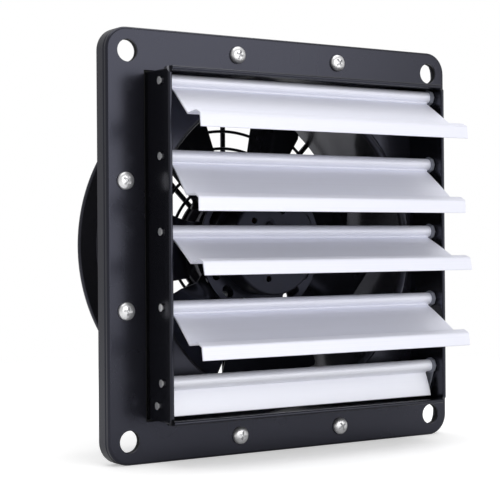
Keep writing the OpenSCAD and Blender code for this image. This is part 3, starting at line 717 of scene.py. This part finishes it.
def extrusion(s, line, turn, pivot, half_blade):
    """A louver: tube and blade in one closed mesh along X, turned about its pivot.

    The blade's root ends short of the tube, and its ends slant outwards from there to the lip.
    """
    skin = s.skin / 2
    under = offset(line, -skin)
    above = offset(line, skin)
    end = Vector(line[-1]) - Vector(line[-2])
    end_angle = math.atan2(end.y, end.x)
    cap = arc(line[-1], skin, end_angle - math.pi / 2, end_angle + math.pi / 2, 6)[1:-1]
    bead_r = s.skin * 0.8
    bead_at = (line[0][0] + bead_r, line[0][1] + bead_r * 0.6)
    bead = arc(bead_at, bead_r, *BEAD_ARC, 6)
    first, last = TUBE_ARC
    tube = arc((0, 0), s.tube_r, first, last, 40)
    hidden = arc((0, 0), s.tube_r, last, first + 2 * math.pi, 3)[1:-1]
    start = Vector(above[0])
    upper = [p for p in above if (Vector(p) - start).length > BEAD_REACH][::-1]
    skin_path = under + cap + upper + bead
    bore = [polar(s.bore_r, math.atan2(z, x)) for x, z in tube + hidden]

    half_tube = half_blade - s.inset
    half_root = half_tube - s.root_inset
    reach = s.blade + s.tube_r - s.flare_r
    bm = bmesh.new()

    def station(points, x, flare=0.0):
        ring = []
        for point, (forward, up) in zip(points, turned(points, turn)):
            grown = math.copysign(flare * clamp((Vector(point).length - s.flare_r) / reach), x)
            ring.append(bm.verts.new((x + grown, pivot[0] - forward, pivot[1] + up)))
        return ring

    xs = (-half_tube, -half_root, half_root, half_tube)
    tubes = [station(tube, x) for x in xs]
    hiddens = [station(hidden, x) for x in xs]
    paths = {i: station(skin_path, xs[i], half_blade - half_root) for i in (1, 2)}
    bores = [station(bore, x) for x in (xs[0], xs[3])]
    full = [t + h for t, h in zip(tubes, hiddens)]
    skirt(bm, [tubes[1] + paths[1], tubes[2] + paths[2]])
    skirt(bm, full[:2])
    skirt(bm, full[2:])
    skirt(bm, bores)
    skirt(bm, [full[0], bores[0]])
    skirt(bm, [full[3], bores[1]])
    for i in (1, 2):
        fill(bm, [paths[i] + [tubes[i][0]] + hiddens[i][::-1] + [tubes[i][-1]]])
    return done(bm)


class EXHAUSTFAN_OT_louvers(bpy.types.Operator):
    """Builds the swinging louvers and the closed bottom slat"""
    bl_idname = "exhaust_fan.louvers"
    bl_label = "Louvers"

    # How far each louver stands above the nominal slope, in degrees
    OPEN = (0, -5, 6.5, 1)

    def execute(self, context):
        s = context.scene.exhaust_fan_louver
        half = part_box("louver_1")[1].x
        line = blade_line(s, s.blade, True)
        for k, (pivot, rise) in enumerate(zip(PIVOTS, self.OPEN), 1):
            mesh = extrusion(s, line, math.radians(rise), pivot, half)
            finish_piece(f"louver_{k}_extrusion", mesh, f"louver_body_{k}", f"louver_{k}",
                         burr=s.burr)
        slat_pivot = (PIVOTS[-1][0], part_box("bottom_slat")[1].z - s.tube_r)
        mesh = extrusion(s, blade_line(s, s.slat, False), s.slope - s.slat_slope, slat_pivot, half)
        # The slat's aluminium is a lighter copy of the louvers': painted light
        finish_piece("bottom_slat_extrusion", mesh, ROOT, "bottom_slat", "slat_aluminium",
                     burr=s.burr)
        return {"FINISHED"}


# Screws and rivets

def stood(place, degrees, axis="Y"):
    """Moves a fastener to its place, turned about an axis."""
    return Matrix.Translation(place) @ Matrix.Rotation(math.radians(degrees), 4, axis)


def headed(shank_r, shank_l, head, count):
    """Turned screw or rivet: its shank, then its head's (radius, y) points towards -Y."""
    shank = [(shank_r * 0.8, shank_l), (shank_r, shank_l - shank_r * 0.3), (shank_r, 0.0)]
    return solid([at_depth(circle(r, count), y) for r, y in shank + head])


def quarter_turns(steps):
    """The angles between 0 and 90 degrees, both left out."""
    return [math.pi / 2 * i / steps for i in range(1, steps)]


def pan_head(head_r, head_h, shank_r, shank_l):
    """Pan-head screw with a tapered cross recess, head towards -Y from y = 0."""
    rim = head_h * 0.28
    head = [(head_r * 0.97, 0.0), (head_r, -rim * 0.25), (head_r, -rim)]
    head += [(head_r * math.cos(a) ** 0.75, -rim - (head_h - rim) * math.sin(a))
             for a in quarter_turns(9)]
    arm, web = head_r * 0.52, head_r * 0.13

    def cross(reach, width, y):
        return at_depth(four_times([(reach, -width), (reach, width), (width, width)]), y)

    recess = solid([cross(arm * 1.1, web * 1.3, -head_h * 1.3), cross(arm, web, -head_h * 0.92),
                    cross(arm * 0.45, web * 0.7, -head_h * 0.30)])
    return cut_away(headed(shank_r, shank_l, head, 40), [recess])


def rivet(head_r, head_h, shank_r, shank_l):
    """Dome-headed rivet towards -Y from y = 0, with the small pit of its mandrel."""
    head = [(head_r, 0.0), (head_r, -head_h * 0.22)]
    head += [(head_r * math.cos(a), -head_h * (0.22 + 0.78 * math.sin(a)))
             for a in quarter_turns(7)]
    head.append((head[-1][0] * 0.8, -head_h * 0.8))
    return headed(shank_r, shank_l, head, 28)


class EXHAUSTFAN_OT_fasteners(bpy.types.Operator):
    """Builds the cross-recessed screws and the louvers' rivets"""
    bl_idname = "exhaust_fan.fasteners"
    bl_label = "Fasteners"

    FLANGE_SHANK_R = 2.5 * MM
    RIVET_R = 2.7 * MM
    RIVET_SHANK_R = 1.6 * MM
    RIVET_LENGTH = 12 * MM
    SMALL_R = 3.2 * MM
    SMALL_H = 2.2 * MM
    SMALL_SHANK_R = 1.5 * MM
    # How each screw's cross is turned, in degrees
    CROSS = (20, 52, 8, 35, 61, 14, 40, 75)
    # Small screws: node, body, count, first place in degrees, whether heads face forwards, finish
    SMALL = (("guard_screws", ROOT, 4, 45, False, "zinc_steel"),
             ("motor_screws", ROOT, 4, 22.5, False, "zinc_steel"),
             ("hub_screws", ROTOR, 6, 49, True, "motor_paint"))

    def execute(self, context):
        self.flange_screws(context.scene.exhaust_fan_flange)
        self.rivets()
        for row in self.SMALL:
            self.small_screws(*row)
        return {"FINISHED"}

    def flange_screws(self, flange):
        low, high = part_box("flange_screws")
        face = PLATE_LOW.y
        screw = pan_head(high.z - flange.screw_row, face - low.y, self.FLANGE_SHANK_R,
                         high.y - face)
        transforms = [stood((x, face, z), cross)
                      for (x, z), cross in zip(flange_screw_places(flange), self.CROSS)]
        finish_piece("flange_screw_set", copies(screw, transforms), ROOT, "flange_screws")

    def rivets(self):
        """One at each louver's pivot, and two at the bottom slat, which lock it."""
        low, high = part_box("louver_rivets")
        (y, above), (y, below) = PIVOTS[-2:]
        slat = [(y, 2 * below - above), (high.y - self.RIVET_R, low.z + self.RIVET_R)]
        transforms = [stood((side * BOX_HIGH.x, y, z), 90 * side, "Z")
                      for side in (-1, 1) for y, z in PIVOTS + slat]
        one = rivet(self.RIVET_R, high.x - BOX_HIGH.x, self.RIVET_SHANK_R, self.RIVET_LENGTH)
        finish_piece("louver_rivet_set", copies(one, transforms), ROOT, "louver_rivets")

    def small_screws(self, node, body, count, first, ahead, finish):
        low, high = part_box(node)
        angles = [math.radians(first) + 2 * math.pi * k / count for k in range(count)]
        radius = (high.x - self.SMALL_R) / max(math.cos(a) for a in angles)
        shank = high.y - low.y - self.SMALL_H
        screw = pan_head(self.SMALL_R, self.SMALL_H, self.SMALL_SHANK_R, shank)
        face = low.y + self.SMALL_H if ahead else high.y - self.SMALL_H
        facing = Matrix() if ahead else Matrix.Rotation(math.pi, 4, "X")
        transforms = []
        for a, cross in zip(angles, self.CROSS):
            x, z = polar(radius, a)
            transforms.append(stood((x, face, z), cross) @ facing)
        finish_piece(node + "_set", copies(screw, transforms), body, node, finish)


# Duct and guard

class EXHAUSTFAN_OT_duct(bpy.types.Operator):
    """Builds the duct with its flared mouth and its rear rim"""
    bl_idname = "exhaust_fan.duct"
    bl_label = "Duct"

    SHEET = 1.2 * MM
    BORE_R = 112.5 * MM
    FLANGE_R = 122.6 * MM
    LIP = 3 * MM
    # Bend radii from the front flange to the rear lip
    BENDS = (0, 4.7 * MM, 1.4 * MM, 1.2 * MM, 0)
    BURR = 0.2 * MM

    def execute(self, context):
        half = self.SHEET / 2
        wall_r, rim_r = self.BORE_R + half, DUCT_HIGH.x - half
        front, rear = DUCT_LOW.y + half, DUCT_HIGH.y - self.LIP + half
        corners = [(self.FLANGE_R, front), (wall_r, front), (wall_r, rear), (rim_r, rear),
                   (rim_r, DUCT_HIGH.y)]
        line = fillet(corners, self.BENDS)
        bm = bmesh.new()
        lathe(bm, offset(line, half) + offset(line, -half)[::-1], 192)
        # Its paint is the black paint made lighter, as painted light inside the duct
        finish_piece("duct_shell", done(bm), ROOT, "duct", "duct_paint", burr=self.BURR)
        return {"FINISHED"}


class EXHAUSTFAN_OT_guard(bpy.types.Operator):
    """Builds the guard's wire rings with a weld at each spoke"""
    bl_idname = "exhaust_fan.guard"
    bl_label = "Wire guard"

    PITCH = 13.5 * MM
    RINGS = 6
    SPOKES = 8
    WELD_R = 1.9 * MM
    WELD_H = 0.7 * MM
    WELD_SUNK = 0.1 * MM

    def execute(self, context):
        low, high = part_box("guard_rings")
        wire = (high.y - low.y) / 2
        y = (low.y + high.y) / 2
        weld = Matrix.Diagonal((self.WELD_R, self.WELD_H, self.WELD_R, 1))
        bm = bmesh.new()
        for k in range(self.RINGS):
            radius = high.x - wire - self.PITCH * k
            lathe(bm, [(radius + a, y + b) for a, b in circle(wire, 14)], 160)
            for x, z in circle(radius, self.SPOKES):
                place = Matrix.Translation((x, high.y - self.WELD_SUNK, z))
                bmesh.ops.create_uvsphere(bm, u_segments=12, v_segments=8, radius=1,
                                          matrix=place @ weld)
        finish_piece("guard_ring_wires", done(bm), ROOT, "guard_rings", crease=60)
        return {"FINISHED"}


# Fan

# Rows of a blade's mesh from root to tip, and columns across it
ALONG, ACROSS = 34, 36
# Gaps between the cup and the blades' roots, and between the cup and the disc
ROOT_GAP, DISC_GAP = 0.2 * MM, 0.1 * MM
# Radius of a tip's corners as a share of its half width, and its set-back as a share of that
TIP_ROUND, TIP_BACK = 0.3, 0.35
# Where flare, camber and rib set in, from the root radius, and over what length
FLARE, CAMBER, RIB = (-4 * MM, 6 * MM), (-1 * MM, 12 * MM), (5 * MM, 8 * MM)
# The rib ends at this share of the tip radius, after fading out over this length
RIB_END, RIB_FADE = 0.9, 10 * MM


def ramp(x, start, over):
    """Rises smoothly from 0 at the start to 1 that much further on."""
    t = clamp((x - start) / over)
    return t * t * (3 - 2 * t)


def blade_mesh(s, k):
    """One cambered blade with its flat riveted root and a pressed rib, as a closed sheet."""
    inner = CUP_HIGH.x + ROOT_GAP
    half_tip = s.tip_r * math.sin(s.span / 2) * s.tip_share
    tab = s.root_r * math.sin(s.span / 2)
    round_r = half_tip * TIP_ROUND
    square_tip = s.tip_r * math.cos(s.span / 2) - round_r * TIP_BACK
    mid_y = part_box("blade_carrier")[0].y - s.sheet / 2
    turn = s.first + 2 * math.pi / BLADE_COUNT * (k - 1)
    flat = s.camber_r * math.cos(s.pitch)

    def point(i, j):
        v = -math.cos(math.pi * j / ACROSS)
        edge = abs(v) * half_tip - (half_tip - round_r)
        reach = math.sqrt(s.tip_r ** 2 - (v * half_tip) ** 2)
        if edge > 0:
            reach = min(reach, square_tip + math.sqrt(max(0.0, round_r ** 2 - edge ** 2)))
        x = inner + (reach - inner) * i / ALONG
        root = s.root_lead if v > 0 else s.root_trail
        flare, bent, ribbed = (ramp(x - s.root_r, *stretch) for stretch in (FLARE, CAMBER, RIB))
        grow = clamp((x - s.root_r) / (square_tip - s.root_r))
        across = v * (tab + (root - tab) * flare + (half_tip - root) * grow)
        lean = across + s.camber_r * math.sin(s.pitch)
        camber = bent * (flat - math.sqrt(s.camber_r ** 2 - lean ** 2))
        rib = s.rib * ribbed * math.exp(-(across / s.rib_half) ** 2)
        rib *= ramp(s.tip_r * RIB_END - x, 0, RIB_FADE)
        px, pz = turned([(x, across)], turn)[0]
        return Vector((px, mid_y - camber - rib, pz))

    grid = [[point(i, j) for j in range(ACROSS + 1)] for i in range(ALONG + 1)]
    bm = bmesh.new()
    sides = []
    for sign in (1, -1):
        layer = []
        for i in range(ALONG + 1):
            row = []
            for j in range(ACROSS + 1):
                du = grid[min(ALONG, i + 1)][j] - grid[max(0, i - 1)][j]
                dv = grid[i][min(ACROSS, j + 1)] - grid[i][max(0, j - 1)]
                normal = du.cross(dv).normalized()
                row.append(bm.verts.new(grid[i][j] + normal * sign * s.sheet / 2))
            layer.append(row)
        sides.append(layer)
        for near, far in zip(layer, layer[1:]):
            for j in range(ACROSS):
                bm.faces.new((near[j], near[j + 1], far[j + 1], far[j]))
    border = [(0, j) for j in range(ACROSS + 1)] + [(i, ACROSS) for i in range(1, ALONG + 1)]
    border += [(ALONG, j) for j in range(ACROSS - 1, -1, -1)]
    border += [(i, 0) for i in range(ALONG - 1, 0, -1)]
    for (a, b), (c, d) in zip(border, border[1:] + border[:1]):
        bm.faces.new((sides[0][a][b], sides[0][c][d], sides[1][c][d], sides[1][a][b]))
    return done(bm)


def slot_outline(radius, turn, half_width, half_long):
    """Slot with round ends, square to the radius at the angle turn."""
    def outline(grow):
        r = half_width + grow
        points = arc((radius, half_long), r, 0, math.pi, 8)
        points += arc((radius, -half_long), r, math.pi, 2 * math.pi, 8)
        return turned(points, turn)
    return outline


class EXHAUSTFAN_OT_blades(bpy.types.Operator):
    """Builds the fan's pressed blades and the windowed disc before them"""
    bl_idname = "exhaust_fan.blades"
    bl_label = "Blades"

    BURR = 0.2 * MM
    RIM_BURR = 0.3 * MM
    # Length of the disc's windows at a blade and between two, as shares of their width
    WINDOWS = (0.5, 1.4)

    def execute(self, context):
        s = context.scene.exhaust_fan_fan
        for k in range(1, BLADE_COUNT + 1):
            finish_piece(f"blade_{k}_pressing", blade_mesh(s, k), ROTOR, f"fan_blade_{k}",
                         "blade_paint", burr=self.BURR)
        low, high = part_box("rotor_disc")
        walls = through(low.y, high.y - low.y, self.BURR)
        middle_r = (CUP_HIGH.x + high.x) / 2
        cuts = []
        for k in range(2 * BLADE_COUNT):
            half_long = s.window * self.WINDOWS[k % 2] / 2
            turn = s.first + math.pi / BLADE_COUNT * k
            cuts.append((slot_outline(middle_r, turn, s.window / 2, half_long), walls))
        cuts.append(round_hole((0, 0), CUP_HIGH.x + DISC_GAP, 96, walls))
        disc = pressed(lambda inset: circle(high.x - inset, 128),
                       through(low.y, high.y - low.y, self.RIM_BURR), cuts)
        finish_piece("rotor_disc_pressing", disc, ROTOR, "rotor_disc", "blade_paint")
        return {"FINISHED"}


class EXHAUSTFAN_OT_rotor_cup(bpy.types.Operator):
    """Builds the motor's rotor cup with its vents and screw recesses"""
    bl_idname = "exhaust_fan.rotor_cup"
    bl_label = "Rotor cup"

    WALL = 1.5 * MM
    EDGE = 2 * MM
    BURR = 0.3 * MM
    HOLE_BURR = 0.2 * MM
    VENTS = 6
    VENT_R = 2.2 * MM
    VENT_CIRCLE = 26 * MM
    VENT_TURN = math.radians(16)
    RECESS_R = 4.8 * MM
    RECESS_DEPTH = 0.9 * MM
    RECESS_HOLE_R = 1.7 * MM
    RECESS_CIRCLE = 15.2 * MM
    RECESS_TURN = math.radians(49)
    SHAFT_R = 4.05 * MM
    SHAFT_BURR = 0.15 * MM

    def execute(self, context):
        front = CUP_LOW.y
        wall, floor = self.WALL, front + self.RECESS_DEPTH
        vent = through(front, wall, self.HOLE_BURR)
        step = self.RECESS_HOLE_R - self.RECESS_R
        recess = [(self.BURR, front), (0, front + self.BURR), (0, floor), (step, floor),
                  (step, front + wall)]
        holes = []
        for k in range(self.VENTS):
            turn = 2 * math.pi / self.VENTS * k
            place = polar(self.VENT_CIRCLE, self.VENT_TURN + turn)
            holes.append(round_hole(place, self.VENT_R, 24, vent))
            place = polar(self.RECESS_CIRCLE, self.RECESS_TURN + turn)
            holes.append(round_hole(place, self.RECESS_R, 32, recess))
        holes.append(round_hole((0, 0), self.SHAFT_R, 32, through(front, wall, self.SHAFT_BURR)))
        edge = folded_edge(self.EDGE, wall, front, CUP_HIGH.y, self.BURR)
        cup = pressed(lambda inset: circle(CUP_HIGH.x - inset, 96), edge, holes)
        finish_piece("rotor_cup_shell", cup, ROTOR, "rotor_cup")
        return {"FINISHED"}


class EXHAUSTFAN_OT_finishes(bpy.types.Operator):
    """Gives every node of the frame its finish"""
    bl_idname = "exhaust_fan.finishes"
    bl_label = "Finishes"

    # Rounding of the edges that a view from the rear shows, in millimetres
    ROUNDED = {"guard_spokes": 0.3, "motor_plate": 0.3, "motor_base": 0.3, "cable_gland": 0.3,
               "gland_nut": 0.4, "flange_nuts": 0.25, "blade_carrier": 0.2}
    # Vertices nearer than this are joined first, so that the rounding finds whole edges
    WELD = 0.002 * MM
    # Nodes with a finish of their own within their slot
    OWN = {"motor_base": "base_paint"}

    def execute(self, context):
        make_finishes(context.scene.exhaust_fan_colours)
        for name, node in frame["nodes"].items():
            for holder in node.material_slots:
                holder.material = finishes[self.OWN.get(name, SLOTS[name])]
            if name in self.ROUNDED:
                weld = node.modifiers.new("weld", "WELD")
                weld.merge_threshold = self.WELD
                soft_edges(node, self.ROUNDED[name] * MM)
        return {"FINISHED"}


# Studio

WHITE = (1, 1, 1, 1)
# The floor turns plain white between these distances from the fan, in metres
FADE_START, FADE_END = 0.35, 0.9


def soft_light(name, power, size, place):
    """A large light that faces the fan's centre."""
    data = bpy.data.lights.new(name, "AREA")
    data.energy = power
    data.shape = "RECTANGLE"
    data.size, data.size_y = size
    lamp = add_object(name, data)
    lamp.location = place
    lamp.rotation_euler = (-Vector(place)).to_track_quat("-Z", "Y").to_euler()


def add_camera(studio):
    data = bpy.data.cameras.new("camera")
    data.lens = studio.lens
    data.sensor_width = 36.0
    data.clip_start, data.clip_end = 0.01, 60.0
    camera = add_object("camera", data)
    camera.matrix_world = (Matrix.Translation(studio.camera)
                           @ Matrix.Rotation(-studio.yaw, 4, "Z")
                           @ Matrix.Rotation(math.pi / 2 + studio.pitch, 4, "X")
                           @ Matrix.Rotation(studio.roll, 4, "Z"))
    bpy.context.scene.camera = camera


def floor_finish(shade, lift):
    """Pale floor that keeps the shadow; the camera sees it a little whiter, and white far off."""
    g = material_graph("studio_floor")
    where = g.place()
    grain = g.cloud(where, 40.0)
    reach = g.add("ShaderNodeVectorMath", {"operation": "LENGTH"}, {0: where}, "Value")
    far = g.add("ShaderNodeMapRange", {"interpolation_type": "SMOOTHSTEP"},
                {"Value": reach, "From Min": FADE_START, "From Max": FADE_END})
    diffuse = g.add("ShaderNodeBsdfPrincipled", {}, {
        "Base Color": g.shades(shade, 0.99, 1.01, grain), "Roughness": 0.8,
        "Specular IOR Level": 0.1})
    glow = g.add("ShaderNodeEmission", {}, {"Color": WHITE, "Strength": lift})
    lit = g.add("ShaderNodeAddShader", {}, {0: diffuse, 1: glow})
    plain = g.add("ShaderNodeEmission", {}, {"Color": WHITE, "Strength": 1.0})
    both = g.add("ShaderNodeMixShader", {}, {0: far, 1: lit, 2: plain})
    seen = g.add("ShaderNodeLightPath", {}, {}, "Is Camera Ray")
    return g.output(g.add("ShaderNodeMixShader", {}, {0: seen, 1: diffuse, 2: both}))


def add_world(sky):
    """Even pale surroundings, which the camera sees white."""
    world = bpy.data.worlds.new("studio_world")
    bpy.context.scene.world = world
    g = Graph(world)
    seen = g.add("ShaderNodeLightPath", {}, {}, "Is Camera Ray")
    strength = g.add("ShaderNodeMix", {}, {0: seen, 2: sky, 3: 1.0})
    light = g.add("ShaderNodeBackground", {}, {"Color": WHITE, "Strength": strength})
    g.output(light, "ShaderNodeOutputWorld")


class EXHAUSTFAN_OT_stage(bpy.types.Operator):
    """Sets up the camera, the floor, the surroundings and the lights"""
    bl_idname = "exhaust_fan.stage"
    bl_label = "Stage"

    FLOOR_HALF = 8.0
    # Width and height of each light, and its place
    OVERHEAD = ((2.4, 2.0), (0.0, 0.0, 1.9))
    FRONT = ((2.4, 1.7), (0.60, -2.35, 0.45))

    def execute(self, context):
        studio = context.scene.exhaust_fan_studio
        add_camera(studio)
        add_world(studio.sky)
        bm = bmesh.new()
        half = self.FLOOR_HALF
        corners = ((-half, -half), (half, -half), (half, half), (-half, half))
        bm.faces.new([bm.verts.new((x, y, PLATE_LOW.z)) for x, y in corners])
        floor = add_object("floor", done(bm))
        floor.data.materials.append(floor_finish(
            context.scene.exhaust_fan_colours.floor, studio.floor_lift))
        soft_light("overhead_light", studio.key, *self.OVERHEAD)
        soft_light("front_light", studio.side, *self.FRONT)
        context.scene.view_settings.view_transform = "Standard"
        return {"FINISHED"}


class EXHAUSTFAN_PT_panel(bpy.types.Panel):
    """Lists the fan's builders and their sizes"""
    bl_idname = "EXHAUSTFAN_PT_panel"
    bl_label = "Exhaust fan"
    bl_space_type = "VIEW_3D"
    bl_region_type = "UI"
    bl_category = "Exhaust fan"

    def draw(self, context):
        for name in GROUPS:
            box = self.layout.box()
            group = getattr(context.scene, name)
            for key in group.__annotations__:
                box.prop(group, key)
        for step in STEPS:
            self.layout.operator(step.bl_idname)


GROUPS = {
    "exhaust_fan_flange": FlangeSizes,
    "exhaust_fan_box": BoxSizes,
    "exhaust_fan_louver": LouverSizes,
    "exhaust_fan_fan": FanSizes,
    "exhaust_fan_colours": Colours,
    "exhaust_fan_studio": Studio,
}
STEPS = (
    EXHAUSTFAN_OT_stage,
    EXHAUSTFAN_OT_finishes,
    EXHAUSTFAN_OT_flange,
    EXHAUSTFAN_OT_louver_box,
    EXHAUSTFAN_OT_louvers,
    EXHAUSTFAN_OT_fasteners,
    EXHAUSTFAN_OT_duct,
    EXHAUSTFAN_OT_guard,
    EXHAUSTFAN_OT_blades,
    EXHAUSTFAN_OT_rotor_cup,
)
CLASSES = (*GROUPS.values(), *STEPS, EXHAUSTFAN_PT_panel)


def register():
    for cls in CLASSES:
        bpy.utils.register_class(cls)
    for name, cls in GROUPS.items():
        setattr(bpy.types.Scene, name, bpy.props.PointerProperty(type=cls))


def unregister():
    for name in GROUPS:
        delattr(bpy.types.Scene, name)
    for cls in reversed(CLASSES):
        bpy.utils.unregister_class(cls)


def main():
    register()
    for step in STEPS:
        group, action = step.bl_idname.split(".")
        getattr(getattr(bpy.ops, group), action)()


if __name__ == "__main__":
    main()
